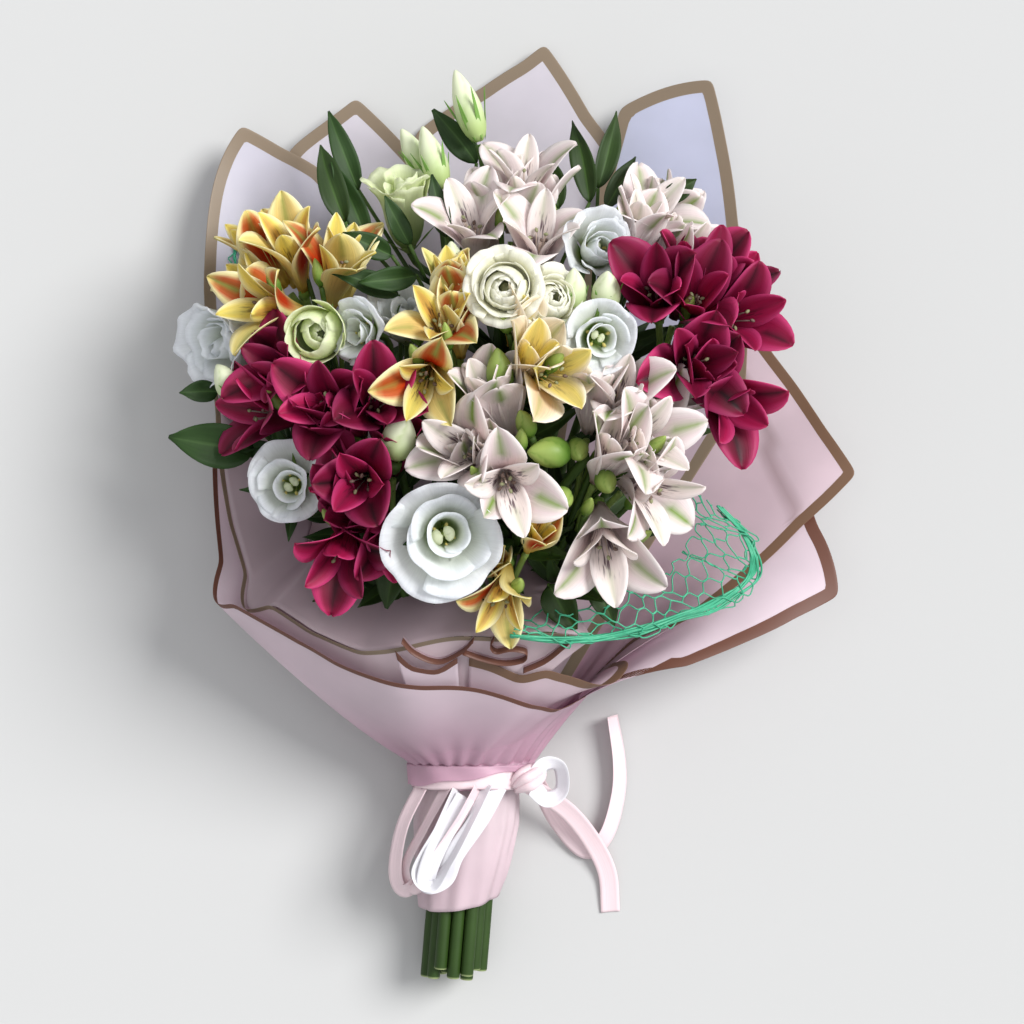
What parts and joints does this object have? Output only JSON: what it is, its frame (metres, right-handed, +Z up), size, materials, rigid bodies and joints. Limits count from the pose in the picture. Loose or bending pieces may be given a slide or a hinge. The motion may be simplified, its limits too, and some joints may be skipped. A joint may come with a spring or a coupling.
{
  "type": "mixed flower bouquet",
  "caption": "Hand-tied mixed bouquet lying on its back: lisianthus, alstroemeria and spray roses in a cone of frosted film, bound and tied with satin ribbon.",
  "frame": {"origin": "middle of the bounding box at the height of the surface that the bouquet lies on", "axes": "+Y from the stems to the flower heads, +X to the right seen from above, +Z up away from the surface"},
  "size_m": [0.3854, 0.5377, 0.1753],
  "materials": {
    "frosted_film": "frosted film",
    "green_net": "matte",
    "twine": "spun fibre",
    "white_satin": "satin",
    "pink_satin": "satin",
    "green_stalk": "fresh stem and leaf",
    "crimson_petal": "fresh petal",
    "yellow_petal": "fresh petal",
    "peach_petal": "fresh petal",
    "blush_petal": "fresh petal",
    "cream_petal": "fresh petal",
    "mint_petal": "fresh petal",
    "white_petal": "fresh petal"
  },
  "bodies": {
    "root": {"alstroemeria_blush_centre": "blush_petal", "alstroemeria_blush_low": "blush_petal", "alstroemeria_blush_right": "blush_petal", "alstroemeria_blush_top": "blush_petal", "alstroemeria_blush_upper_right": "blush_petal", "alstroemeria_crimson_left": "crimson_petal", "alstroemeria_crimson_low": "crimson_petal", "alstroemeria_crimson_right": "crimson_petal", "alstroemeria_peach": "peach_petal", "alstroemeria_yellow_centre": "yellow_petal", "alstroemeria_yellow_left": "yellow_petal", "alstroemeria_yellow_low": "yellow_petal", "lisianthus_far_left": "white_petal", "lisianthus_front": "white_petal", "lisianthus_low_left": "white_petal", "lisianthus_mid_back": "white_petal", "lisianthus_mid_left": "white_petal", "lisianthus_opening": "mint_petal", "lisianthus_top": "mint_petal", "lisianthus_upper_right": "white_petal", "net_left": "green_net", "net_right": "green_net", "ribbon_band": "pink_satin", "ribbon_loop_pink": "pink_satin", "ribbon_loop_white": "white_satin", "ribbon_tail_back": "pink_satin", "ribbon_tail_front": "pink_satin", "rose_cream_left": "cream_petal", "rose_cream_right": "cream_petal", "rose_white": "white_petal", "stalk_crimson_left": "green_stalk", "stalk_crimson_low": "green_stalk", "stalk_crimson_right": "green_stalk", "stalk_lisianthus_far_left": "green_stalk", "stalk_lisianthus_front": "green_stalk", "stalk_lisianthus_low_left": "green_stalk", "stalk_lisianthus_mid_left": "green_stalk", "stalk_lisianthus_top": "green_stalk", "stalk_lisianthus_upper_right": "green_stalk", "stalk_rose_spray": "green_stalk", "stalk_white_centre": "green_stalk", "stalk_white_low": "green_stalk", "stalk_white_right": "green_stalk", "stalk_white_top": "green_stalk", "stalk_white_upper_right": "green_stalk", "stalk_yellow_centre": "green_stalk", "stalk_yellow_left": "green_stalk", "stalk_yellow_low": "green_stalk", "stalk_yellow_right": "green_stalk", "twine_binding": "twine", "wrap_back": "frosted_film", "wrap_back_left": "frosted_film", "wrap_back_right": "frosted_film", "wrap_fold": "frosted_film", "wrap_front": "frosted_film", "wrap_left": "frosted_film", "wrap_right": "frosted_film", "wrap_skirt": "frosted_film"}
  },
  "joints": []
}
